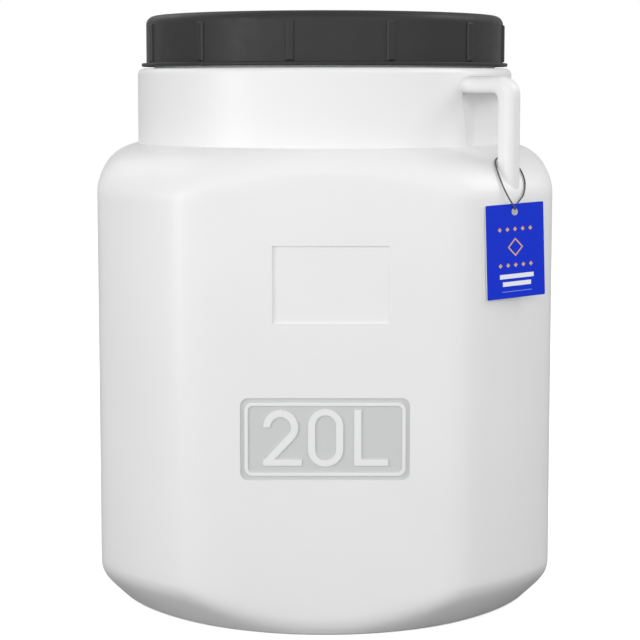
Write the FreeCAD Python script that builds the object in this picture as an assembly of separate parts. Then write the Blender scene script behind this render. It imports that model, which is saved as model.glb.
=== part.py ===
import FreeCAD, Part
import math
import os

# A 20-litre wide-mouth plastic drum, shut with its black screw lid, with a card tag on a string.
# The body is round, cut by four flat faces, by a cone at the foot and by a dome at the shoulder,
# with soft blends between them. The neck is round, and two loop handles stand over
# opposite corners. Millimetres, +Z up, the front faces -Y, the origin is the middle of the base.
# An azimuth is an angle in degrees from the front (-Y) round to the right (+X).

V = FreeCAD.Vector
UP = V(0, 0, 1)
AXIS = V(0, 0, 0)

# Body
BODY_WIDTH = 274.4  # from face to face
BODY_HEIGHT = 283.5  # base to the line where the shoulder meets the neck
CORNER_PROUD = 21.0  # how far the round corners reach out beyond the plane of a face
EDGE_BLEND = 5.5  # between a face and a round corner
BASE_INSET = 6.7  # from the plane of a face in to the rim of the flat base
BASE_ROUNDING = 5.0
CHAMFER_ANGLE = 43.8  # of the cone at the foot, above the horizontal
BASE_BLEND = 7.2
SHOULDER_WIDTH = 18.7  # from the neck out to the plane of a face
SHOULDER_RISE = 54.9  # height of the dome's ellipse
SHOULDER_CORE = 12.0  # from the neck in to the centre of the dome's ellipse
SHOULDER_BLEND = 18.7
DOME_MARGIN = 11.4  # how far the dome's widest ring lies outside the corners
PUSH_UP_DEPTH = 2.5
PUSH_UP_INSET = 26.0
PUSH_UP_SLOPE = 8.0

# Neck and mouth
NECK_HEIGHT = 45.8
NECK_EDGE = 3.6
MOUTH_INSET = 10.5
MOUTH_CLEARANCE = 1.5
NECK_ROOT = 6.0  # how far the neck's column reaches down into the body

# Lid
LID_HEIGHT = 31.6
LID_GAP = 1.2  # between the neck's top and the rim of the lid
LID_SKIRT_INSET = 5.5  # from the neck's wall in to the skirt
LID_TOP_THICKNESS = 3.2
LID_EDGE = 5.5
LID_RIM_PROUD = 3.0
LID_RIM_HEIGHT = 2.2
LID_RIM_ROUNDING = 0.8
LID_PANEL_INSET = 14.0
LID_PANEL_DEPTH = 1.2
LID_RIBS = 12
LID_RIB_WIDTH = 4.8
LID_RIB_PROUD = 1.3
LID_RIB_ROOT = 1.5
LID_RIB_START = 19.6  # azimuth of the first rib
LID_RIB_LOW = 2.6  # from the rim's bottom up to the rib's foot
LID_RIB_HIGH = 5.8  # from the lid's top down to the rib's head
LID_RIB_ROUNDING = 1.1

# Handles, over two opposite corners
HANDLE_AZIMUTHS = (45.0, 225.0)
HANDLE_THICKNESS = 11.8
HANDLE_BAR_WIDTH = 11.8
HANDLE_ARM_HEIGHT = 9.8
HANDLE_ARM_DROP = 5.0  # from the neck's top down to the arm's top
HANDLE_CORNER_INSET = 1.3  # from the corner of the body in to the outside of the bar
HANDLE_OUTER_BEND = 11.5
HANDLE_INNER_BEND = 4.5
HANDLE_EDGE = 4.7
HANDLE_ROOT = 20.0  # how far the arm reaches into the neck
HANDLE_FOOT_DEPTH = 46.0  # from the top of the body down to the hidden foot of the bar

# The finger pocket beside each handle, a V-shaped recess in the neck
POCKET_EDGE_AT_FLOOR = 0.7  # azimuths from here on are past the handle's own
POCKET_EDGE_AT_ROOF = -2.1
POCKET_VALLEY = 12.6
POCKET_END = 40.0
POCKET_DEPTH = 11.0  # from the neck's wall in to the valley
POCKET_FLOOR = 1.5  # below the line where the shoulder meets the neck
POCKET_OUTSIDE = 1.35  # the cutter reaches this many neck radii out

# Label recess on the front face
LABEL_WIDTH = 66.6
LABEL_HEIGHT = 44.5
LABEL_CENTRE_X = 3.2
LABEL_DROP = 55.35  # from the top of the body down to the label's top
LABEL_DEPTH = 1.2

# Capacity panel on the front face: a sunk panel with a frame line and figures left standing
PANEL_WIDTH = 97.4
PANEL_HEIGHT = 47.6
PANEL_DROP = 42.95  # from the label's bottom down to the panel's top
PANEL_DEPTH = 0.9
PANEL_ROUNDING = 4.6
FRAME_INSET = 2.5
FRAME_LINE = 1.9
FRAME_ROUNDING = 4.6
FIGURE_HEIGHT = 32.4
FIGURE_CENTRE_ABOVE = 0.8  # above the middle of the panel
FIGURE_STROKE = 4.1
FOOT_STROKE = 3.6
TWO_LEFT = -35.6
TWO_WIDTH = 22.2
TWO_BOWL_WIDTH = 20.2
ZERO_LEFT = -9.8
ZERO_WIDTH = 20.2
ZERO_OVERSHOOT = 0.5
ELL_LEFT = 16.7
ELL_WIDTH = 19.4

# Card tag that hangs at the front right corner
TAG_WIDTH = 41.0
TAG_HEIGHT = 54.5
TAG_THICKNESS = 0.8
TAG_ROUNDING = 0.8
TAG_AZIMUTH = 30.0  # the way its face looks
TAG_ROLL = 2.2
TAG_BESIDE_BAR = 3.8  # from the bar's axis, along the tag, to its middle
TAG_STANDOFF = 0.4
TAG_DROP = 17.3  # from the shoulder at the bar's foot down to the tag's top
TAG_HOLE_DIAMETER = 4.4
TAG_HOLE_DROP = 4.6  # from the tag's top down to the middle of the hole

# String that loops round the bar and through the tag's hole
STRING_DIAMETER = 0.9
KNOT_DIAMETER = 2.6
# Points of the string, from where the axis of the bar meets the shoulder
STRING_POINTS = (
    (1.0, 14.7, 8.4),
    (-2.8, 11.8, 8.5),
    (-6.7, 6.9, 7.9),
    (-7.8, 0.1, 5.3),
    (-7.0, -7.8, 0.3),
    (-4.2, -13.4, -8.1),
    (-0.8, -16.5, -15.1),
    (3.1, -14.9, -20.5),
    (1.6, -12.1, -20.5),
    (5.6, -9.1, -15.7),
    (8.8, -3.0, -13.0),
    (10.5, 3.8, -5.4),
    (7.8, 10.7, 2.3),
    (3.4, 14.5, 7.3),
)

# How finely the blended body is worked out
FLAT_COLUMNS = 4
EDGE_COLUMNS = 8
CORNER_COLUMNS = 3
EDGE_SPREAD = 7.0  # degrees to both sides of an edge where the columns stand closer
ROUNDING_ROWS = 5
CHAMFER_ROWS = 10
WALL_ROWS = 4
DOME_ROWS = 18
DOME_LOW_ANGLE = 3.0
DOME_HIGH_ANGLE = 75.0

# Sizes that follow from those above
HALF_WIDTH = BODY_WIDTH / 2
CORNER_REACH = HALF_WIDTH + CORNER_PROUD  # from the axis
EDGE_AZIMUTH = math.degrees(math.acos(HALF_WIDTH / CORNER_REACH))
BASE_RADIUS = HALF_WIDTH - BASE_INSET
NECK_RADIUS = HALF_WIDTH - SHOULDER_WIDTH
NECK_TOP = BODY_HEIGHT + NECK_HEIGHT
MOUTH_RADIUS = NECK_RADIUS - MOUTH_INSET
LID_BOTTOM = NECK_TOP + LID_GAP
LID_TOP = LID_BOTTOM + LID_HEIGHT
LID_RADIUS = NECK_RADIUS - LID_SKIRT_INSET
BAR_OUTSIDE = CORNER_REACH - HANDLE_CORNER_INSET
BAR_RADIUS = BAR_OUTSIDE - HANDLE_BAR_WIDTH / 2
ARM_TOP = NECK_TOP - HANDLE_ARM_DROP
ARM_BOTTOM = ARM_TOP - HANDLE_ARM_HEIGHT
LABEL_CENTRE_Z = BODY_HEIGHT - LABEL_DROP - LABEL_HEIGHT / 2
PANEL_CENTRE_Z = LABEL_CENTRE_Z - LABEL_HEIGHT / 2 - PANEL_DROP - PANEL_HEIGHT / 2
DOME_CENTRE_RADIUS = NECK_RADIUS - SHOULDER_CORE
DOME_REACH = CORNER_REACH + DOME_MARGIN - DOME_CENTRE_RADIUS
DOME_CENTRE_Z = BODY_HEIGHT - SHOULDER_RISE * math.sqrt(1 - (SHOULDER_CORE / DOME_REACH) ** 2)
BAR_FOOT_OUT = (BAR_RADIUS - DOME_CENTRE_RADIUS) / DOME_REACH
BAR_FOOT_Z = DOME_CENTRE_Z + SHOULDER_RISE * math.sqrt(1 - BAR_FOOT_OUT**2)


def polar(azimuth, radius, z=0.0):
    """The point at that azimuth, distance from the axis and height."""
    angle = math.radians(azimuth)
    return V(radius * math.sin(angle), -radius * math.cos(angle), z)


def disc(radius, bottom, top):
    """An upright cylinder on the axis."""
    return Part.makeCylinder(radius, top - bottom, V(0, 0, bottom), UP)


def rounded_box(width, height, depth, rounding, centre_x, centre_z, front_y):
    """A block with round corners in its front outline, from front_y back by depth."""
    corner = V(centre_x - width / 2, front_y, centre_z - height / 2)
    block = Part.makeBox(width, depth, height, corner)
    along_y = [edge for edge in block.Edges if abs(edge.tangentAt(edge.FirstParameter).y) > 0.9]
    return block.makeFillet(rounding, along_y)


def soft_min(first, second, blend):
    """The smaller of two lengths, with the change from one to the other spread over the blend."""
    share = max(0.0, 1.0 - abs(first - second) / blend)
    return min(first, second) - share * share * blend / 4


def plan_angles():
    """The directions of the body's columns, closer together where a face meets a round corner."""
    zones = (
        (0.0, EDGE_AZIMUTH - EDGE_SPREAD, FLAT_COLUMNS),
        (EDGE_AZIMUTH - EDGE_SPREAD, EDGE_AZIMUTH + EDGE_SPREAD, EDGE_COLUMNS),
        (EDGE_AZIMUTH + EDGE_SPREAD, 45.0, CORNER_COLUMNS),
    )
    eighth = [low + (high - low) * i / columns for low, high, columns in zones for i in range(columns)]
    quarter = eighth + [45.0] + [90.0 - turn for turn in reversed(eighth[1:])]
    return [math.radians(90.0 * side + turn) for side in range(4) for turn in quarter]


def plan_radius(angle):
    """How far the body's plan, a circle cut by four faces, reaches from the axis in that direction."""
    to_face = HALF_WIDTH / max(abs(math.cos(angle)), abs(math.sin(angle)))
    return soft_min(to_face, CORNER_REACH, EDGE_BLEND)


def foot_rows():
    """Rows (height, radius, blend) of the round foot: the base's rounding, then the cone."""
    rows = []
    for i in range(ROUNDING_ROWS):
        turn = math.radians(CHAMFER_ANGLE * i / ROUNDING_ROWS)
        radius = BASE_RADIUS + BASE_ROUNDING * math.sin(turn)
        rows.append((BASE_ROUNDING * (1 - math.cos(turn)), radius, BASE_BLEND))
    turn = math.radians(CHAMFER_ANGLE)
    start_radius = BASE_RADIUS + BASE_ROUNDING * math.sin(turn)
    start_height = BASE_ROUNDING * (1 - math.cos(turn))
    run = CORNER_REACH + BASE_BLEND - start_radius
    for i in range(CHAMFER_ROWS + 1):
        out = run * i / CHAMFER_ROWS
        rows.append((start_height + out * math.tan(turn), start_radius + out, BASE_BLEND))
    return rows


def dome_rows():
    """Rows (height, radius, blend) of the shoulder's dome. The blend narrows where it steepens."""
    rows = []
    for i in range(DOME_ROWS + 1):
        degrees = DOME_LOW_ANGLE + (DOME_HIGH_ANGLE - DOME_LOW_ANGLE) * i / DOME_ROWS
        turn = math.radians(degrees)
        slope = math.atan2(SHOULDER_RISE * math.cos(turn), DOME_REACH * math.sin(turn))
        blend = 2 * SHOULDER_BLEND * math.tan((math.pi / 2 - slope) / 2) * math.cos(slope)
        height = DOME_CENTRE_Z + SHOULDER_RISE * math.sin(turn)
        rows.append((height, DOME_CENTRE_RADIUS + DOME_REACH * math.cos(turn), blend))
    return rows


def body_rows():
    """All rows of the body from the base up. Between the foot and the dome the walls are straight."""
    foot = foot_rows()
    dome = dome_rows()
    low = foot[-1][0]
    high = dome[0][0]
    clear = 2 * CORNER_REACH
    walls = []
    for i in range(1, WALL_ROWS + 1):
        walls.append((low + (high - low) * i / (WALL_ROWS + 1), clear, BASE_BLEND))
    return foot + walls + dome


def knots_and_counts(poles, closed):
    """Even knots of a cubic curve with that many poles, and how often each one counts."""
    if closed:
        return list(range(poles + 1)), [1] * (poles + 1)
    knots = list(range(poles - 2))
    return knots, [4] + [1] * (poles - 4) + [4]


def blended_body():
    """The body's solid: one smooth wall surface, the flat base and a flat top under the neck."""
    rows = body_rows()
    poles = []
    for angle in plan_angles():
        reach = plan_radius(angle)
        column = []
        for height, radius, blend in rows:
            out = soft_min(reach, radius, blend)
            column.append(V(out * math.cos(angle), out * math.sin(angle), height))
        poles.append(column)
    round_knots, round_counts = knots_and_counts(len(poles), True)
    up_knots, up_counts = knots_and_counts(len(rows), False)
    surface = Part.BSplineSurface()
    surface.buildFromPolesMultsKnots(
        poles, round_counts, up_counts, round_knots, up_knots, True, False, 3, 3
    )
    wall = surface.toShape()
    faces = [wall]
    for height in (rows[0][0], rows[-1][0]):
        rim = [e for e in wall.Edges if abs(e.BoundBox.ZMin - height) + abs(e.BoundBox.ZMax - height) < 0.1]
        faces.append(Part.Face(Part.Wire(rim)))
    shell = Part.Shell(faces)
    shell.sewShape()
    solid = Part.Solid(shell)
    if solid.Volume < 0:
        solid.reverse()
    return solid


def neck():
    """The round neck with its soft top edge, and the mouth that stands inside the lid."""
    column = disc(NECK_RADIUS, BODY_HEIGHT - NECK_ROOT, NECK_TOP)
    top_edge = [e for e in column.Edges if e.BoundBox.ZMin > NECK_TOP - 0.1]
    column = column.makeFillet(NECK_EDGE, top_edge)
    return column.fuse(disc(MOUTH_RADIUS, BODY_HEIGHT, LID_TOP - LID_TOP_THICKNESS))


def pocket_outline(edge, azimuth, z):
    """The plan of a finger pocket as a closed wire at that height."""
    points = [
        polar(azimuth + edge, NECK_RADIUS, z),
        polar(azimuth + POCKET_VALLEY, NECK_RADIUS - POCKET_DEPTH, z),
        polar(azimuth + POCKET_END, NECK_RADIUS, z),
        polar(azimuth + POCKET_END, NECK_RADIUS * POCKET_OUTSIDE, z),
        polar(azimuth + edge, NECK_RADIUS * POCKET_OUTSIDE, z),
    ]
    return Part.makePolygon(points + points[:1])


def pocket(azimuth):
    """The cutter of one finger pocket, from its floor to the underside of the handle's arm."""
    floor = pocket_outline(POCKET_EDGE_AT_FLOOR, azimuth, BODY_HEIGHT - POCKET_FLOOR)
    roof = pocket_outline(POCKET_EDGE_AT_ROOF, azimuth, ARM_BOTTOM)
    return Part.makeLoft([floor, roof], True, True)


def handle(azimuth):
    """One loop handle: an arm out of the neck, a bend and a bar down into the shoulder."""
    side = -HANDLE_THICKNESS / 2
    inside = NECK_RADIUS - HANDLE_ROOT
    foot = BODY_HEIGHT - HANDLE_FOOT_DEPTH
    arm = Part.makeBox(BAR_OUTSIDE - inside, HANDLE_THICKNESS, HANDLE_ARM_HEIGHT, V(inside, side, ARM_BOTTOM))
    bar_inside = BAR_OUTSIDE - HANDLE_BAR_WIDTH
    bar = Part.makeBox(HANDLE_BAR_WIDTH, HANDLE_THICKNESS, ARM_TOP - foot, V(bar_inside, side, foot))
    loop = arm.fuse(bar).removeSplitter()
    bends = ((BAR_OUTSIDE, ARM_TOP, HANDLE_OUTER_BEND), (bar_inside, ARM_BOTTOM, HANDLE_INNER_BEND))
    for x, z, radius in bends:
        edges = [e for e in loop.Edges if (e.CenterOfMass - V(x, 0, z)).Length < 0.1]
        loop = loop.makeFillet(radius, edges)
    long_edges = []
    for edge in loop.Edges:
        box = edge.BoundBox
        flat_on_side = box.YLength < 0.01 and abs(abs(box.YMin) + side) < 0.01
        at_end = box.XMax < inside + 0.01 or box.ZMax < foot + 0.01
        if flat_on_side and not at_end:
            long_edges.append(edge)
    loop = loop.makeFillet(HANDLE_EDGE, long_edges)
    loop.rotate(AXIS, UP, azimuth - 90)
    return loop


def figure_box(left, width, bottom, height):
    """An upright or level stroke of a figure, in the plane of the panel."""
    return Part.makeBox(width, PANEL_DEPTH * 2, height, V(left, -PANEL_DEPTH, bottom))


def slot(left, width, bottom, height):
    """A stroke-like block with round ends at the top and the bottom."""
    return rounded_box(
        width, height, PANEL_DEPTH * 2, width / 2 - 0.01, left + width / 2, bottom + height / 2, -PANEL_DEPTH
    )


def figure_two(bottom):
    """The figure 2: a bowl, a slanted stroke that meets it smoothly, and a foot."""
    outer = TWO_BOWL_WIDTH / 2
    middle = outer - FIGURE_STROKE / 2
    centre = V(TWO_LEFT + outer, -PANEL_DEPTH, bottom + FIGURE_HEIGHT - outer)
    start = V(TWO_LEFT + FIGURE_STROKE / 2, -PANEL_DEPTH, bottom + FOOT_STROKE / 2)
    to_centre = centre - start
    lean = math.atan2(to_centre.z, to_centre.x) - math.asin(middle / to_centre.Length)
    length = math.sqrt(to_centre.Length**2 - middle**2)
    bowl = Part.makeCylinder(outer, PANEL_DEPTH * 2, centre, V(0, 1, 0))
    bowl = bowl.cut(Part.makeCylinder(outer - FIGURE_STROKE, PANEL_DEPTH * 2, centre, V(0, 1, 0)))
    # The part of the ring below its middle and left of the slanted stroke is cut away.
    touch = start + V(math.cos(lean), 0, math.sin(lean)) * length
    inward = V(-math.sin(lean), 0, math.cos(lean))
    reach = outer * 1.5
    corners = [
        centre,
        centre - inward * reach,
        touch - inward * reach - V(math.cos(lean), 0, math.sin(lean)) * 2 * reach,
        centre - V(2 * reach, 0, 2 * reach),
        centre - V(2 * reach, 0, 0),
    ]
    wedge = Part.Face(Part.makePolygon(corners + corners[:1])).extrude(V(0, PANEL_DEPTH * 2, 0))
    bowl = bowl.cut(wedge)
    stroke = Part.makeBox(length + FIGURE_STROKE, PANEL_DEPTH * 2, FIGURE_STROKE)
    stroke.translate(V(-FIGURE_STROKE, 0, -FIGURE_STROKE / 2))
    stroke.rotate(AXIS, V(0, 1, 0), -math.degrees(lean))
    stroke.translate(start)
    stroke = stroke.common(figure_box(TWO_LEFT, TWO_WIDTH, bottom, FIGURE_HEIGHT))
    return bowl.fuse([stroke, figure_box(TWO_LEFT, TWO_WIDTH, bottom, FOOT_STROKE)])


def figure_zero(bottom):
    """The figure 0: a tall loop."""
    low = bottom - ZERO_OVERSHOOT
    high = FIGURE_HEIGHT + 2 * ZERO_OVERSHOOT
    outside = slot(ZERO_LEFT, ZERO_WIDTH, low, high)
    inside_width = ZERO_WIDTH - 2 * FIGURE_STROKE
    inside = slot(ZERO_LEFT + FIGURE_STROKE, inside_width, low + FOOT_STROKE, high - 2 * FOOT_STROKE)
    return outside.cut(inside)


def figure_ell(bottom):
    """The letter L for litres."""
    upright = figure_box(ELL_LEFT, FIGURE_STROKE, bottom, FIGURE_HEIGHT)
    return upright.fuse(figure_box(ELL_LEFT, ELL_WIDTH, bottom, FOOT_STROKE))


def panel_cutter():
    """What is sunk around the frame line and the figures of the capacity panel."""
    twice = 2 * PANEL_DEPTH
    sunk = rounded_box(PANEL_WIDTH, PANEL_HEIGHT, twice, PANEL_ROUNDING, 0, 0, -PANEL_DEPTH)
    frame_width = PANEL_WIDTH - 2 * FRAME_INSET
    frame_height = PANEL_HEIGHT - 2 * FRAME_INSET
    frame = rounded_box(frame_width, frame_height, twice, FRAME_ROUNDING, 0, 0, -PANEL_DEPTH)
    inner_width = frame_width - 2 * FRAME_LINE
    inner_height = frame_height - 2 * FRAME_LINE
    rounding = FRAME_ROUNDING - FRAME_LINE
    frame = frame.cut(rounded_box(inner_width, inner_height, twice, rounding, 0, 0, -PANEL_DEPTH))
    bottom = FIGURE_CENTRE_ABOVE - FIGURE_HEIGHT / 2
    standing = [frame, figure_two(bottom), figure_zero(bottom), figure_ell(bottom)]
    sunk = sunk.cut(standing)
    sunk.translate(V(0, -HALF_WIDTH, PANEL_CENTRE_Z))
    return sunk


def label_cutter():
    """The plain recess for a paper label."""
    corner = V(LABEL_CENTRE_X - LABEL_WIDTH / 2, -HALF_WIDTH - LABEL_DEPTH, LABEL_CENTRE_Z - LABEL_HEIGHT / 2)
    return Part.makeBox(LABEL_WIDTH, 2 * LABEL_DEPTH, LABEL_HEIGHT, corner)


def push_up():
    """The shallow recess in the middle of the base."""
    foot = BASE_RADIUS - PUSH_UP_INSET
    return Part.makeCone(foot, foot - PUSH_UP_SLOPE, PUSH_UP_DEPTH, AXIS, UP)


def drum():
    """The moulded drum: body, neck and both handles in one piece."""
    solid = blended_body().fuse(neck())
    for azimuth in HANDLE_AZIMUTHS:
        solid = solid.cut(pocket(azimuth))
    solid = solid.fuse([handle(azimuth) for azimuth in HANDLE_AZIMUTHS])
    return solid.cut([push_up(), label_cutter(), panel_cutter()])


def lid_rib(azimuth):
    """One upright grip rib, with its root inside the skirt."""
    bottom = LID_BOTTOM + LID_RIB_LOW
    height = LID_TOP - LID_RIB_HIGH - bottom
    depth = LID_RIB_ROOT + LID_RIB_PROUD
    corner = V(-LID_RIB_WIDTH / 2, -LID_RADIUS - LID_RIB_PROUD, bottom)
    rib = Part.makeBox(LID_RIB_WIDTH, depth, height, corner)
    outer = [e for e in rib.Edges if e.BoundBox.YMax < -LID_RADIUS - LID_RIB_PROUD + 0.01]
    rib = rib.makeFillet(LID_RIB_ROUNDING, outer)
    rib.rotate(AXIS, UP, azimuth)
    return rib


def lid():
    """The screw lid: a ribbed skirt with a rim at its foot, closed by a plate that rests on the mouth."""
    skirt = disc(LID_RADIUS, LID_BOTTOM, LID_TOP)
    skirt = skirt.makeFillet(LID_EDGE, [e for e in skirt.Edges if e.BoundBox.ZMin > LID_TOP - 0.1])
    rim = disc(LID_RADIUS + LID_RIM_PROUD, LID_BOTTOM, LID_BOTTOM + LID_RIM_HEIGHT)
    circles = [e for e in rim.Edges if e.BoundBox.ZLength < 0.01]
    rim = rim.makeFillet(LID_RIM_ROUNDING, circles)
    step = 360.0 / LID_RIBS
    ribs = [lid_rib(LID_RIB_START + i * step) for i in range(LID_RIBS)]
    shell = skirt.fuse([rim] + ribs)
    inside = disc(MOUTH_RADIUS + MOUTH_CLEARANCE, LID_BOTTOM - 1, LID_TOP - LID_TOP_THICKNESS)
    panel = disc(LID_RADIUS - LID_PANEL_INSET, LID_TOP - LID_PANEL_DEPTH, LID_TOP + 1)
    return shell.cut([inside, panel])


def tag():
    """The card tag, standing just clear of the front right corner, with the hole for its string."""
    card = rounded_box(TAG_WIDTH, TAG_HEIGHT, TAG_THICKNESS, TAG_ROUNDING, 0, 0, -TAG_THICKNESS / 2)
    hole_z = TAG_HEIGHT / 2 - TAG_HOLE_DROP
    hole = Part.makeCylinder(TAG_HOLE_DIAMETER / 2, 3 * TAG_THICKNESS, V(0, -1.5 * TAG_THICKNESS, hole_z), V(0, 1, 0))
    card = card.cut(hole)
    card.rotate(AXIS, V(0, 1, 0), -TAG_ROLL)
    card.rotate(AXIS, UP, TAG_AZIMUTH)
    outward = polar(TAG_AZIMUTH, 1)
    sideways = polar(TAG_AZIMUTH + 90, 1)
    along = polar(HANDLE_AZIMUTHS[0], BAR_RADIUS).dot(sideways) - TAG_BESIDE_BAR
    # The card's near edge stands off from the round corner, which falls away under the rest of it.
    near = along - (TAG_WIDTH / 2 + TAG_HEIGHT / 2 * math.sin(math.radians(TAG_ROLL)))
    out = math.sqrt(CORNER_REACH**2 - near**2) + TAG_STANDOFF + TAG_THICKNESS / 2
    card.translate(outward * out + sideways * along + V(0, 0, BAR_FOOT_Z - TAG_DROP - TAG_HEIGHT / 2))
    return card


def tangent_path(points):
    """Straight runs joined by arcs that touch both, each as wide as its shorter run allows."""
    edges = []
    radii = []
    last = points[0]
    for before, point, after in zip(points, points[1:], points[2:]):
        back = (before - point).normalize()
        ahead = (after - point).normalize()
        set_back = 0.45 * min((before - point).Length, (after - point).Length)
        start = point + back * set_back
        end = point + ahead * set_back
        half_turn = (math.pi - back.getAngle(ahead)) / 2
        radius = set_back / math.tan(half_turn)
        to_middle = (back + ahead).normalize()
        middle = point + to_middle * (radius / math.cos(half_turn) - radius)
        edges.append(Part.LineSegment(last, start).toShape())
        edges.append(Part.Arc(start, middle, end).toShape())
        radii.append(radius)
        last = end
    edges.append(Part.LineSegment(last, points[-1]).toShape())
    return Part.Wire(edges), radii


def string_route():
    """The string's points in place."""
    foot = polar(HANDLE_AZIMUTHS[0], BAR_RADIUS, BAR_FOOT_Z)
    return [foot + V(*point) for point in STRING_POINTS]


def string():
    """The string: a round tube from the knot, round the bar, through the tag and back."""
    points = string_route()
    path, radii = tangent_path(points)
    section = Part.Circle(points[0], points[1] - points[0], STRING_DIAMETER / 2).toShape()
    tube = path.makePipeShell([Part.Wire([section])], True, False)
    expected = math.pi * STRING_DIAMETER**2 / 4 * path.Length
    print("string radii", [round(radius, 2) for radius in radii])
    print("string length", round(path.Length, 2), "volume", round(tube.Volume / expected, 4))
    return tube


def knot():
    """The small knot where both ends of the string meet, behind the bar."""
    route = string_route()
    return Part.makeSphere(KNOT_DIAMETER / 2, (route[0] + route[-1]) / 2)


def main():
    """Build every node and write it."""
    os.makedirs("parts", exist_ok=True)
    nodes = {
        "drum": drum(),
        "lid": lid(),
        "hang_tag": tag(),
        "tag_string": string(),
        "string_knot": knot(),
    }
    for name, shape in nodes.items():
        box = shape.BoundBox
        print(name, shape.isValid(), len(shape.Solids), round(shape.Volume / 1000, 2), "cm3", box)
        shape.exportStep("parts/" + name + ".step")


main()
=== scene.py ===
"""A 20-litre wide-mouth plastic drum with its black screw lid and a card tag on a thin cord."""

import logging
import math
from dataclasses import dataclass, field
from enum import Enum
from typing import Any, Sequence

import bpy
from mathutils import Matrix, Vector


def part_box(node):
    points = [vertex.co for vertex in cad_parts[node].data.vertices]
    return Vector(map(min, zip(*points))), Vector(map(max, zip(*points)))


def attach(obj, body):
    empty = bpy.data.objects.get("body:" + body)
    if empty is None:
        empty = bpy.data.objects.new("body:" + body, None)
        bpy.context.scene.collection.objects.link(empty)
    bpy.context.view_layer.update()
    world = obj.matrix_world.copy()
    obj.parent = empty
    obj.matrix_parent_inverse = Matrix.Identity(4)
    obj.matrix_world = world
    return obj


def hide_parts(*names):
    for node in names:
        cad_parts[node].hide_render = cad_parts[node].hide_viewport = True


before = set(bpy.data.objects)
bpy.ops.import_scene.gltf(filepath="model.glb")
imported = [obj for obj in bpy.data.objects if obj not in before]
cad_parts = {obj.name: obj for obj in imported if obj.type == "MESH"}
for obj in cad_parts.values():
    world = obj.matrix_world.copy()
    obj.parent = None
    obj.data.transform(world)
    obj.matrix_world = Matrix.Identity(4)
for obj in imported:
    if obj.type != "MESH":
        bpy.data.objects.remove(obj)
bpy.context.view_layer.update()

log = logging.getLogger("drum")

MM = 0.001
ROOT = "root"

Point = tuple[float, float, float]
Colour = tuple[float, float, float, float]


def linear(hex_code: str) -> Colour:
    """Turn an sRGB hex code into the linear colour that the shaders work in.

    Args:
        hex_code: Six hex digits, such as "ECECEA".

    Returns:
        Linear red, green and blue, with an alpha of 1.
    """
    channels = [int(hex_code[i : i + 2], 16) / 255 for i in (0, 2, 4)]
    red, green, blue = (c / 12.92 if c <= 0.04045 else ((c + 0.055) / 1.055) ** 2.4 for c in channels)
    return (red, green, blue, 1.0)


def polar(azimuth: float, radius: float, height: float = 0.0) -> Vector:
    """Give the point at an azimuth in degrees from the front (-Y) round to the right (+X).

    Args:
        azimuth: Degrees from the front.
        radius: Distance from the drum's axis, in metres.
        height: Height above the floor, in metres.

    Returns:
        The point in the row frame.
    """
    turn = math.radians(azimuth)
    return Vector((radius * math.sin(turn), -radius * math.cos(turn), height))


def add_node(
    tree: bpy.types.NodeTree,
    kind: str,
    inputs: dict[str | int, Any] | None = None,
    **settings: Any,
) -> bpy.types.Node:
    """Add a node, with its settings, socket values and links.

    Args:
        tree: The node tree it goes into.
        kind: The node's type, such as "ShaderNodeTexNoise".
        inputs: Socket name or number to a value, or to an output socket that it is linked from.
        **settings: Properties of the node itself.

    Returns:
        The new node.
    """
    node = tree.nodes.new(kind)
    for name, value in settings.items():
        setattr(node, name, value)
    for name, value in (inputs or {}).items():
        if isinstance(value, bpy.types.NodeSocket):
            tree.links.new(value, node.inputs[name])
        else:
            node.inputs[name].default_value = value
    return node


def combine(tree: bpy.types.NodeTree, operation: str, *values: Any) -> bpy.types.NodeSocket:
    """Add a Math node.

    Args:
        tree: The node tree it goes into.
        operation: The node's operation, such as "MULTIPLY".
        *values: Its inputs in order, each a number or an output socket.

    Returns:
        The result's socket.
    """
    return add_node(tree, "ShaderNodeMath", dict(enumerate(values)), operation=operation).outputs[0]


def blend(tree: bpy.types.NodeTree, share: Any, first: Any, second: Any) -> bpy.types.NodeSocket:
    """Mix two colours.

    Args:
        tree: The node tree it goes into.
        share: The socket of the second colour's share.
        first: The first colour, or its socket.
        second: The second colour, or its socket.

    Returns:
        The mixed colour's socket.
    """
    mix = add_node(tree, "ShaderNodeMix", {0: share, 6: first, 7: second}, data_type="RGBA")
    return mix.outputs[2]


def new_material(name: str) -> tuple[bpy.types.Material, bpy.types.NodeTree]:
    """Make an empty node material.

    Args:
        name: The material's name.

    Returns:
        The material and its cleared node tree.
    """
    material = bpy.data.materials.new(name)
    material.use_nodes = True
    material.node_tree.nodes.clear()
    return material, material.node_tree


def close_material(tree: bpy.types.NodeTree, shader: bpy.types.Node) -> None:
    """Link a shader to the material's output.

    Args:
        tree: The material's node tree.
        shader: The node whose first output is the surface.
    """
    add_node(tree, "ShaderNodeOutputMaterial", {"Surface": shader.outputs[0]})


def dress(node: str, material: bpy.types.Material) -> bpy.types.Object:
    """Give a CAD node its material in every slot.

    Args:
        node: The CAD node's name.
        material: The material it gets.

    Returns:
        The node's object.
    """
    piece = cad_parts[node]
    piece.data.materials.clear()
    piece.data.materials.append(material)
    return piece


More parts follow.
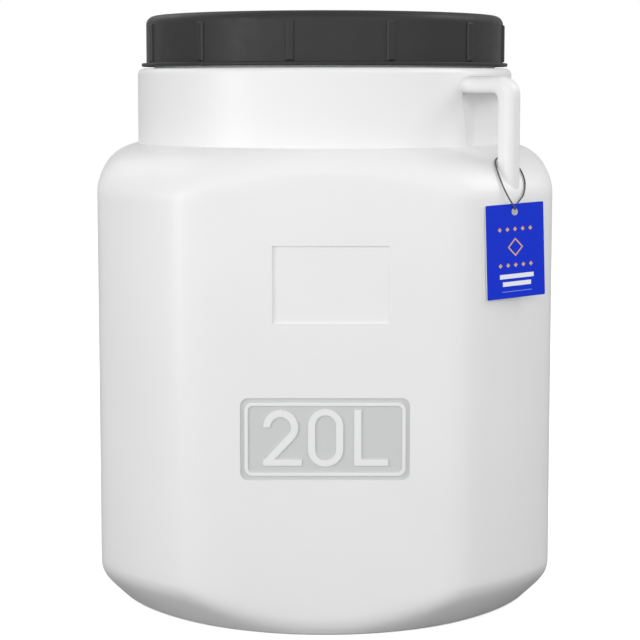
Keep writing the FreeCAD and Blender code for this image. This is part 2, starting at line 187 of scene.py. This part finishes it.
@dataclass(frozen=True)
class BlowMouldedPolyethylene:
    """White high-density polyethylene, blow moulded: satin, with a faint orange peel from the mould.

    The floor of the capacity panel is spark-eroded in the mould, which leaves it matt and greyer.
    """

    body: str = "F0F0F0"
    body_low: str = "EEEEEE"
    panel: str = "D0D1D1"
    roughness: float = 0.38
    panel_roughness: float = 0.62
    ior: float = 1.54
    grain: float = 1.4 * MM
    waviness: float = 38 * MM
    cloud: float = 60 * MM
    cloud_low: float = 0.3
    cloud_high: float = 0.7
    wave_height: float = 0.6 * MM
    parting_height: float = 0.12 * MM
    grain_height: float = 0.05 * MM
    parting_half_width: float = 0.35 * MM
    face: float = 137.2 * MM
    panel_depth: float = 0.9 * MM
    panel_size: tuple[float, float] = (97.4 * MM, 47.6 * MM)
    panel_centre_z: float = 116.9 * MM
    panel_margin: float = 0.2 * MM
    panel_floor_share: float = 0.8

    def panel_mask(
        self, tree: bpy.types.NodeTree, axes: bpy.types.Node
    ) -> bpy.types.NodeSocket:
        """Build the mask that is 1 on the sunk floor of the capacity panel and 0 elsewhere.

        Args:
            tree: The material's node tree.
            axes: The Separate XYZ node of the object coordinates.

        Returns:
            The mask's socket.
        """
        x, y, z = (axes.outputs[axis] for axis in "XYZ")
        half_width, half_height = (side / 2 + self.panel_margin for side in self.panel_size)
        floor = -self.face + self.panel_floor_share * self.panel_depth
        up = combine(tree, "SUBTRACT", z, self.panel_centre_z)
        inside_x = combine(tree, "LESS_THAN", combine(tree, "ABSOLUTE", x), half_width)
        inside_z = combine(tree, "LESS_THAN", combine(tree, "ABSOLUTE", up), half_height)
        behind_face = combine(tree, "GREATER_THAN", y, floor)
        in_front = combine(tree, "LESS_THAN", y, 0.0)
        box = combine(tree, "MULTIPLY", inside_x, inside_z)
        depth = combine(tree, "MULTIPLY", behind_face, in_front)
        return combine(tree, "MULTIPLY", box, depth)

    def relief(
        self, tree: bpy.types.NodeTree, place: bpy.types.Node, axes: bpy.types.Node
    ) -> bpy.types.NodeSocket:
        """Build the surface's normal: mould grain, slow waviness and the mould's parting line.

        Args:
            tree: The material's node tree.
            place: The Texture Coordinate node.
            axes: The Separate XYZ node of the object coordinates.

        Returns:
            The normal's socket.
        """
        grain = add_node(
            tree,
            "ShaderNodeTexNoise",
            {
                "Vector": place.outputs["Object"],
                "Scale": 1 / self.grain,
                "Detail": 2.0,
                "Roughness": 0.5,
            },
        )
        waves = add_node(
            tree,
            "ShaderNodeTexNoise",
            {
                "Vector": place.outputs["Object"],
                "Scale": 1 / self.waviness,
                "Detail": 1.0,
                "Roughness": 0.4,
            },
        )
        # The mould opens across the handles, so its parting line runs up through both of them.
        diagonal = combine(tree, "ADD", axes.outputs["X"], axes.outputs["Y"])
        line = add_node(
            tree,
            "ShaderNodeMapRange",
            {
                "Value": combine(tree, "ABSOLUTE", diagonal),
                "From Min": 0.0,
                "From Max": self.parting_half_width,
                "To Min": 1.0,
                "To Max": 0.0,
            },
            interpolation_type="SMOOTHSTEP",
        )
        wavy = add_node(
            tree,
            "ShaderNodeBump",
            {"Height": waves.outputs["Fac"], "Strength": 0.25, "Distance": self.wave_height},
        )
        seamed = add_node(
            tree,
            "ShaderNodeBump",
            {
                "Height": line.outputs["Result"],
                "Strength": 0.6,
                "Distance": self.parting_height,
                "Normal": wavy.outputs[0],
            },
        )
        grained = add_node(
            tree,
            "ShaderNodeBump",
            {
                "Height": grain.outputs["Fac"],
                "Strength": 0.25,
                "Distance": self.grain_height,
                "Normal": seamed.outputs[0],
            },
        )
        return grained.outputs[0]

    def make(self) -> bpy.types.Material:
        """Build the material.

        Returns:
            The finished material.
        """
        material, tree = new_material("blow_moulded_polyethylene_white")
        place = add_node(tree, "ShaderNodeTexCoord")
        axes = add_node(tree, "ShaderNodeSeparateXYZ", {0: place.outputs["Object"]})
        mask = self.panel_mask(tree, axes)
        clouds = add_node(
            tree,
            "ShaderNodeTexNoise",
            {"Vector": place.outputs["Object"], "Scale": 1 / self.cloud, "Detail": 3.0},
        )
        tint = add_node(tree, "ShaderNodeValToRGB", {"Fac": clouds.outputs["Fac"]})
        stops = ((self.cloud_low, self.body_low), (self.cloud_high, self.body))
        for element, (position, shade) in zip(tint.color_ramp.elements, stops):
            element.position = position
            element.color = linear(shade)
        colour = blend(tree, mask, tint.outputs["Color"], linear(self.panel))
        matt = add_node(
            tree,
            "ShaderNodeMapRange",
            {"Value": mask, "To Min": self.roughness, "To Max": self.panel_roughness},
        )
        shader = add_node(
            tree,
            "ShaderNodeBsdfPrincipled",
            {
                "Base Color": colour,
                "Roughness": matt.outputs["Result"],
                "IOR": self.ior,
                "Normal": self.relief(tree, place, axes),
            },
        )
        close_material(tree, shader)
        return material


@dataclass(frozen=True)
class MouldedBlackPolypropylene:
    """Near-black polypropylene, injection moulded: satin, finely stippled, with soft scuffs."""

    colour: str = "303031"
    # The second shade is a painted highlight for the edges that stand proud.
    painted_edge_highlight: str = "414142"
    roughness: float = 0.46
    ior: float = 1.34
    stipple: float = 0.9 * MM
    stipple_height: float = 0.04 * MM
    scuff: float = 9 * MM

    def make(self) -> bpy.types.Material:
        """Build the material.

        Returns:
            The finished material.
        """
        material, tree = new_material("injection_moulded_polypropylene_black")
        place = add_node(tree, "ShaderNodeTexCoord")
        stipple = add_node(
            tree,
            "ShaderNodeTexNoise",
            {"Vector": place.outputs["Object"], "Scale": 1 / self.stipple, "Detail": 2.0},
        )
        scuffs = add_node(
            tree,
            "ShaderNodeTexNoise",
            {
                "Vector": place.outputs["Object"],
                "Scale": 1 / self.scuff,
                "Detail": 4.0,
                "Roughness": 0.6,
            },
        )
        gloss = add_node(
            tree,
            "ShaderNodeMapRange",
            {
                "Value": scuffs.outputs["Fac"],
                "From Min": 0.35,
                "From Max": 0.75,
                "To Min": self.roughness - 0.03,
                "To Max": self.roughness + 0.08,
            },
        )
        # Edges that stand proud are painted a little lighter: a painted highlight along the ribs and
        # the rim.
        proud = add_node(tree, "ShaderNodeNewGeometry")
        highlit_edge = add_node(
            tree,
            "ShaderNodeMapRange",
            {"Value": proud.outputs["Pointiness"], "From Min": 0.52, "From Max": 0.62},
        )
        colour = blend(tree, highlit_edge.outputs["Result"], linear(self.colour), linear(self.painted_edge_highlight))
        bump = add_node(
            tree,
            "ShaderNodeBump",
            {"Height": stipple.outputs["Fac"], "Strength": 0.35, "Distance": self.stipple_height},
        )
        shader = add_node(
            tree,
            "ShaderNodeBsdfPrincipled",
            {
                "Base Color": colour,
                "Roughness": gloss.outputs["Result"],
                "IOR": self.ior,
                "Normal": bump.outputs[0],
            },
        )
        close_material(tree, shader)
        return material


@dataclass(frozen=True)
class PrintedTagCard:
    """Solid bleached board, its front offset printed and varnished: gold and white on blue.

    The back and the cut edges stay bare white board.
    """

    blue: str = "002FD4"
    gold: str = "E2B566"
    white: str = "F2F4F8"
    board: str = "E8E8E4"
    rule: str = "8FA4E0"
    roughness: float = 0.42
    board_roughness: float = 0.75
    ior: float = 1.33
    fibre: float = 0.5 * MM
    fibre_height: float = 0.03 * MM
    diamond_centre: tuple[float, float] = (0.0, 2.2 * MM)
    diamond_reach: float = 5.4 * MM
    outline_half: float = 0.55 * MM
    dot_rows: tuple[float, float] = (12.6 * MM, -8.2 * MM)
    dots_in_row: int = 5
    dot_spacing: float = 5.4 * MM
    dot_reach: float = 1.35 * MM
    text_centre: float = 0.6 * MM
    bar_height: float = 2.6 * MM
    bars: tuple[tuple[float, float], ...] = ((-14.6 * MM, 24.0 * MM), (-19.0 * MM, 20.0 * MM))
    rule_place: tuple[float, float] = (-23.4 * MM, 21.0 * MM)
    rule_height: float = 0.35 * MM

    def local(self, tree: bpy.types.NodeTree, hang: "HangTag") -> bpy.types.Node:
        """Turn object coordinates into the card's own: X across, Z up it, Y out of its back.

        Args:
            tree: The material's node tree.
            hang: The tag, for its place and its turn.

        Returns:
            The Separate XYZ node of the card's own coordinates.
        """
        place = add_node(tree, "ShaderNodeTexCoord")
        shift = add_node(
            tree,
            "ShaderNodeVectorMath",
            {0: place.outputs["Object"], 1: tuple(hang.centre())},
            operation="SUBTRACT",
        )
        unturn = add_node(
            tree,
            "ShaderNodeVectorRotate",
            {"Vector": shift.outputs[0], "Angle": math.radians(-hang.azimuth)},
            rotation_type="Z_AXIS",
        )
        unroll = add_node(
            tree,
            "ShaderNodeVectorRotate",
            {"Vector": unturn.outputs[0], "Angle": math.radians(hang.roll)},
            rotation_type="Y_AXIS",
        )
        return add_node(tree, "ShaderNodeSeparateXYZ", {0: unroll.outputs[0]})

    def within(
        self,
        tree: bpy.types.NodeTree,
        value: bpy.types.NodeSocket,
        centre: float,
        half: float,
    ) -> bpy.types.NodeSocket:
        """Build a mask that is 1 where a coordinate lies within half of a centre.

        Args:
            tree: The material's node tree.
            value: The coordinate's socket.
            centre: The middle of the band, in metres.
            half: Half the band's width, in metres.

        Returns:
            The mask's socket.
        """
        return combine(tree, "COMPARE", value, centre, half)

    def bar(
        self,
        tree: bpy.types.NodeTree,
        axes: bpy.types.Node,
        centre: tuple[float, float],
        size: tuple[float, float],
    ) -> bpy.types.NodeSocket:
        """Build a printed bar's mask.

        Args:
            tree: The material's node tree.
            axes: The card's own coordinates.
            centre: The bar's middle, across and up, in metres from the card's middle.
            size: Its width and height, in metres.

        Returns:
            The mask's socket.
        """
        across = self.within(tree, axes.outputs["X"], centre[0], size[0] / 2)
        up = self.within(tree, axes.outputs["Z"], centre[1], size[1] / 2)
        return combine(tree, "MULTIPLY", across, up)

    def either(
        self, tree: bpy.types.NodeTree, masks: Sequence[bpy.types.NodeSocket]
    ) -> bpy.types.NodeSocket:
        """Join masks into one that is 1 where any of them is.

        Args:
            tree: The material's node tree.
            masks: The masks' sockets.

        Returns:
            The joined mask's socket.
        """
        joined = masks[0]
        for mask in masks[1:]:
            joined = combine(tree, "MAXIMUM", joined, mask)
        return joined

    def diamond(
        self,
        tree: bpy.types.NodeTree,
        axes: bpy.types.Node,
        centre: tuple[float, float],
        reach: float,
    ) -> bpy.types.NodeSocket:
        """Measure how far a point lies inside a diamond: positive inside, negative outside.

        Args:
            tree: The material's node tree.
            axes: The card's own coordinates.
            centre: The diamond's middle, in metres from the card's middle.
            reach: From its middle to a corner, in metres.

        Returns:
            The socket of the reach left over.
        """
        across = combine(tree, "SUBTRACT", axes.outputs["X"], centre[0])
        up = combine(tree, "SUBTRACT", axes.outputs["Z"], centre[1])
        total = combine(tree, "ADD", combine(tree, "ABSOLUTE", across), combine(tree, "ABSOLUTE", up))
        return combine(tree, "SUBTRACT", reach, total)

    def design(self, tree: bpy.types.NodeTree, axes: bpy.types.Node) -> bpy.types.NodeSocket:
        """Build the printed front: a diamond outline, rows of dots, two bars and a thin rule.

        Args:
            tree: The material's node tree.
            axes: The card's own coordinates.

        Returns:
            The colour's socket.
        """
        reach = self.diamond(tree, axes, self.diamond_centre, self.diamond_reach)
        gold_parts = [self.within(tree, reach, self.outline_half, self.outline_half)]
        for height in self.dot_rows:
            for i in range(self.dots_in_row):
                side = (i - self.dots_in_row // 2) * self.dot_spacing
                left_over = self.diamond(tree, axes, (side, height), self.dot_reach)
                gold_parts.append(combine(tree, "GREATER_THAN", left_over, 0.0))
        white_parts = [
            self.bar(tree, axes, (self.text_centre, height), (width, self.bar_height))
            for height, width in self.bars
        ]
        height, width = self.rule_place
        rule = self.bar(tree, axes, (self.text_centre, height), (width, self.rule_height))
        colour: Any = linear(self.blue)
        for mask, ink in (
            (self.either(tree, gold_parts), self.gold),
            (self.either(tree, white_parts), self.white),
            (rule, self.rule),
        ):
            colour = blend(tree, mask, colour, linear(ink))
        return colour

    def make(self, hang: "HangTag") -> bpy.types.Material:
        """Build the material.

        Args:
            hang: The tag that it is printed on.

        Returns:
            The finished material.
        """
        material, tree = new_material("offset_printed_board")
        axes = self.local(tree, hang)
        front = combine(tree, "LESS_THAN", axes.outputs["Y"], -0.45 * hang.thickness)
        colour = blend(tree, front, linear(self.board), self.design(tree, axes))
        varnish = add_node(
            tree,
            "ShaderNodeMapRange",
            {"Value": front, "To Min": self.board_roughness, "To Max": self.roughness},
        )
        place = add_node(tree, "ShaderNodeTexCoord")
        fibres = add_node(
            tree,
            "ShaderNodeTexNoise",
            {"Vector": place.outputs["Object"], "Scale": 1 / self.fibre, "Detail": 3.0},
        )
        bump = add_node(
            tree,
            "ShaderNodeBump",
            {"Height": fibres.outputs["Fac"], "Strength": 0.2, "Distance": self.fibre_height},
        )
        shader = add_node(
            tree,
            "ShaderNodeBsdfPrincipled",
            {
                "Base Color": colour,
                "Roughness": varnish.outputs["Result"],
                "IOR": self.ior,
                "Normal": bump.outputs[0],
            },
        )
        close_material(tree, shader)
        return material


@dataclass(frozen=True)
class TwistedCord:
    """Thin grey polyester cord, twisted from two plies, with a slight sheen; its ply crests carry a
    painted highlight and the grooves between them painted shade.
    """

    # The darker shade is painted shade for the grooves and the lighter one a painted highlight for
    # the crests.
    groove_shade: str = "2E2F31"
    crest_highlight: str = "66686C"
    roughness: float = 0.55
    ior: float = 1.55
    plies: int = 2
    ply_height: float = 0.08 * MM
    turns: float = 46.0

    def make(self) -> bpy.types.Material:
        """Build the material.

        Returns:
            The finished material.
        """
        material, tree = new_material("twisted_polyester_cord")
        place = add_node(tree, "ShaderNodeTexCoord")
        wrap = add_node(tree, "ShaderNodeSeparateXYZ", {0: place.outputs["UV"]})
        turns = combine(tree, "MULTIPLY", wrap.outputs["Y"], self.turns)
        helix = combine(tree, "ADD", turns, wrap.outputs["X"])
        phase = combine(tree, "MULTIPLY", helix, self.plies * math.tau)
        swell = combine(tree, "SINE", phase)
        plies = add_node(tree, "ShaderNodeMapRange", {"Value": swell, "From Min": -1.0})
        # Painted highlight on the ply crests and painted shade in the grooves between them, following
        # the twist.
        colour = blend(tree, plies.outputs["Result"], linear(self.groove_shade), linear(self.crest_highlight))
        bump = add_node(
            tree,
            "ShaderNodeBump",
            {"Height": plies.outputs["Result"], "Strength": 0.6, "Distance": self.ply_height},
        )
        shader = add_node(
            tree,
            "ShaderNodeBsdfPrincipled",
            {
                "Base Color": colour,
                "Roughness": self.roughness,
                "IOR": self.ior,
                "Normal": bump.outputs[0],
            },
        )
        close_material(tree, shader)
        return material


@dataclass
class HangTag:
    """The card tag and the cord that ties it to the front handle."""

    thickness: float = 0.8 * MM
    azimuth: float = 30.0
    roll: float = 2.2
    bar_azimuth: float = 45.0
    bar_radius: float = 151.0 * MM
    foot_height: float = 268.525 * MM
    cord_diameter: float = 0.9 * MM
    cord_length: float = 97.4 * MM
    knot_points: int = 18
    knot_steps: int = 6
    route: tuple[Point, ...] = (
        (1.0, 14.7, 8.4),
        (-2.8, 11.8, 8.5),
        (-6.7, 6.9, 7.9),
        (-7.8, 0.1, 5.3),
        (-7.0, -7.8, 0.3),
        (-4.2, -13.4, -8.1),
        (-0.8, -16.5, -15.1),
        (3.1, -14.9, -20.5),
        (1.6, -12.1, -20.5),
        (5.6, -9.1, -15.7),
        (8.8, -3.0, -13.0),
        (10.5, 3.8, -5.4),
        (7.8, 10.7, 2.3),
        (3.4, 14.5, 7.3),
    )
    card_finish: PrintedTagCard = field(default_factory=PrintedTagCard)
    cord_finish: TwistedCord = field(default_factory=TwistedCord)

    def centre(self) -> Vector:
        """Give the middle of the card, from its packed box."""
        low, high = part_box("hang_tag")
        return (low + high) / 2

    def cord(self, material: bpy.types.Material) -> bpy.types.Object:
        """Build the cord as one smooth curve along its route.

        Args:
            material: The cord's material.

        Returns:
            The cord's object.
        """
        foot = polar(self.bar_azimuth, self.bar_radius, self.foot_height)
        points = [foot + Vector(point) * MM for point in self.route]
        curve = bpy.data.curves.new("tag_cord", "CURVE")
        curve.dimensions = "3D"
        curve.resolution_u = 12
        curve.bevel_depth = self.cord_diameter / 2
        curve.bevel_resolution = 3
        curve.use_fill_caps = True
        spline = curve.splines.new("NURBS")
        spline.points.add(len(points) - 1)
        for target, point in zip(spline.points, points):
            target.co = (*point, 1.0)
        spline.order_u = 3
        spline.use_endpoint_u = True
        piece = bpy.data.objects.new("tag_cord", curve)
        bpy.context.scene.collection.objects.link(piece)
        curve.materials.append(material)
        return piece

    def knot(self, material: bpy.types.Material) -> bpy.types.Object:
        """Build the overhand knot that ties the cord's ends, drawn tight within its packed box.

        Args:
            material: The cord's material.

        Returns:
            The knot's object.
        """
        low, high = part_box("string_knot")
        middle = (low + high) / 2
        radius = self.cord_diameter / 2
        reach = (high.x - low.x) / 2 - radius
        curve = bpy.data.curves.new("tied_knot", "CURVE")
        curve.dimensions = "3D"
        curve.resolution_u = self.knot_steps
        curve.bevel_depth = radius
        curve.bevel_resolution = 3
        spline = curve.splines.new("NURBS")
        spline.points.add(self.knot_points - 1)
        for i, target in enumerate(spline.points):
            turn = math.tau * i / self.knot_points
            out = reach * (2.0 + math.cos(3 * turn)) / 3.0
            side, rise = out * math.cos(2 * turn), out * math.sin(2 * turn)
            place = Vector((side, reach * math.sin(3 * turn), rise))
            target.co = (*(middle + place), 1.0)
        spline.order_u = 4
        spline.use_cyclic_u = True
        piece = bpy.data.objects.new("tied_knot", curve)
        bpy.context.scene.collection.objects.link(piece)
        curve.materials.append(material)
        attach(piece, ROOT)
        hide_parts("string_knot")
        return piece

    def build(self) -> None:
        """Build the cord and its knot, and dress the card."""
        card = dress("hang_tag", self.card_finish.make(self))
        cord_material = self.cord_finish.make()
        knot = self.knot(cord_material)
        cord = self.cord(cord_material)
        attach(cord, ROOT)
        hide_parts("tag_string")
        log.info("tag: %s, %s, %s", card.name, cord.name, knot.name)


@dataclass
class Drum:
    """The blow-moulded drum: body, neck and both handles."""

    finish: BlowMouldedPolyethylene = field(default_factory=BlowMouldedPolyethylene)

    def build(self) -> None:
        """Dress the drum."""
        piece = dress("drum", self.finish.make())
        log.info("drum: %s", piece.name)


@dataclass
class ScrewLid:
    """The ribbed screw lid."""

    finish: MouldedBlackPolypropylene = field(default_factory=MouldedBlackPolypropylene)

    def build(self) -> None:
        """Dress the lid."""
        piece = dress("lid", self.finish.make())
        log.info("lid: %s", piece.name)


class LampShape(Enum):
    """The shapes of the studio's soft lamps."""

    SQUARE = "SQUARE"
    STRIP = "RECTANGLE"


@dataclass(frozen=True)
class SoftLamp:
    """One soft lamp of the studio, on a circle round the drum, turned towards it."""

    name: str
    azimuth: float
    elevation: float
    distance: float
    size: tuple[float, float]
    power: float

    def shape(self) -> LampShape:
        """Tell a square lamp from a strip."""
        return LampShape.SQUARE if self.size[0] == self.size[1] else LampShape.STRIP

    def build(self, target: Point) -> bpy.types.Object:
        """Add the lamp.

        Args:
            target: The point that it is turned towards.

        Returns:
            The lamp's object.
        """
        data = bpy.data.lights.new(self.name, "AREA")
        data.shape = self.shape().value
        data.size = self.size[0]
        if self.shape() is LampShape.STRIP:
            data.size_y = self.size[1]
        data.energy = self.power
        rise = math.radians(self.elevation)
        out = polar(self.azimuth, self.distance * math.cos(rise), self.distance * math.sin(rise))
        lamp = bpy.data.objects.new(self.name, data)
        lamp.location = Vector(target) + out
        lamp.rotation_mode = "QUATERNION"
        lamp.rotation_quaternion = (-out).to_track_quat("-Z", "Y")
        bpy.context.scene.collection.objects.link(lamp)
        return lamp


@dataclass
class Studio:
    """The white studio: camera, lamps, sky and floor."""

    camera_distance: float = 1.158
    camera_height: float = 0.3195
    camera_side: float = -0.0029
    pitch: float = 5.6
    lens: float = 101.6
    shift_y: float = -0.0915
    sky: str = "FFFFFF"
    sky_strength: float = 0.48
    floor: str = "F4F4F4"
    floor_bounce: str = "959595"
    floor_glow: float = 0.62
    floor_size: float = 6.0
    target: Point = (0.0, 0.0, 0.19)
    lamps: tuple[SoftLamp, ...] = (
        SoftLamp("front_left", -22.0, 2.0, 1.9, (2.2, 2.2), 19.4),
        SoftLamp("front_right", 32.0, 5.0, 1.9, (2.0, 2.0), 14.6),
        SoftLamp("side_right", 95.0, 40.0, 1.9, (1.0, 1.0), 9.6),
        SoftLamp("strip_left", -56.0, 3.0, 1.8, (0.4, 1.4), 9.6),
        SoftLamp("back_left", -135.0, 42.0, 1.9, (1.0, 1.0), 4.1),
    )

    def camera(self) -> None:
        """Add the camera, a little above the drum's shoulder and tipped down."""
        data = bpy.data.cameras.new("camera")
        data.lens = self.lens
        data.sensor_width = 36.0
        data.shift_y = self.shift_y
        camera = bpy.data.objects.new("camera", data)
        camera.location = (self.camera_side, -self.camera_distance, self.camera_height)
        camera.rotation_euler = (math.radians(90 - self.pitch), 0.0, 0.0)
        bpy.context.scene.collection.objects.link(camera)
        bpy.context.scene.camera = camera

    def white_room(self) -> None:
        """Light the room with an even sky, which the camera sees as pure white."""
        world = bpy.data.worlds.new("studio_sky")
        world.use_nodes = True
        tree = world.node_tree
        tree.nodes.clear()
        path = add_node(tree, "ShaderNodeLightPath")
        seen = combine(
            tree, "MAXIMUM", path.outputs["Is Camera Ray"], path.outputs["Is Transmission Ray"]
        )
        strength = add_node(
            tree,
            "ShaderNodeMapRange",
            {"Value": seen, "To Min": self.sky_strength, "To Max": 1.0},
        )
        sky = add_node(
            tree,
            "ShaderNodeBackground",
            {"Color": linear(self.sky), "Strength": strength.outputs["Result"]},
        )
        add_node(tree, "ShaderNodeOutputWorld", {"Surface": sky.outputs[0]})
        bpy.context.scene.world = world

    def ground(self) -> bpy.types.Object:
        """Lay the pale floor, which looks white where the drum's shadow doesn't fall.

        Returns:
            The floor's object.
        """
        bpy.ops.object.select_all(action="DESELECT")
        bpy.ops.mesh.primitive_plane_add(size=self.floor_size, location=(0.0, 0.0, 0.0))
        floor = bpy.context.active_object
        floor.name = "studio_floor"
        material, tree = new_material("matt_white_paper")
        path = add_node(tree, "ShaderNodeLightPath")
        seen = add_node(tree, "ShaderNodeBsdfDiffuse", {"Color": linear(self.floor)})
        glow = add_node(
            tree, "ShaderNodeEmission", {"Color": linear(self.sky), "Strength": self.floor_glow}
        )
        lit = add_node(tree, "ShaderNodeAddShader", {0: seen.outputs[0], 1: glow.outputs[0]})
        bounce = add_node(tree, "ShaderNodeBsdfDiffuse", {"Color": linear(self.floor_bounce)})
        mix = add_node(
            tree,
            "ShaderNodeMixShader",
            {0: path.outputs["Is Camera Ray"], 1: bounce.outputs[0], 2: lit.outputs[0]},
        )
        close_material(tree, mix)
        floor.data.materials.append(material)
        return floor

    def build(self) -> None:
        """Set up the whole studio."""
        bpy.context.scene.view_settings.view_transform = "Standard"
        self.camera()
        self.white_room()
        self.ground()
        for lamp in self.lamps:
            lamp.build(self.target)
        log.info("studio: %d lamps", len(self.lamps))


def main() -> None:
    """Build every sub-assembly in order."""
    logging.basicConfig(level=logging.INFO, format="%(name)s: %(message)s")
    Studio().build()
    HangTag().build()
    Drum().build()
    ScrewLid().build()


if __name__ == "__main__":
    main()
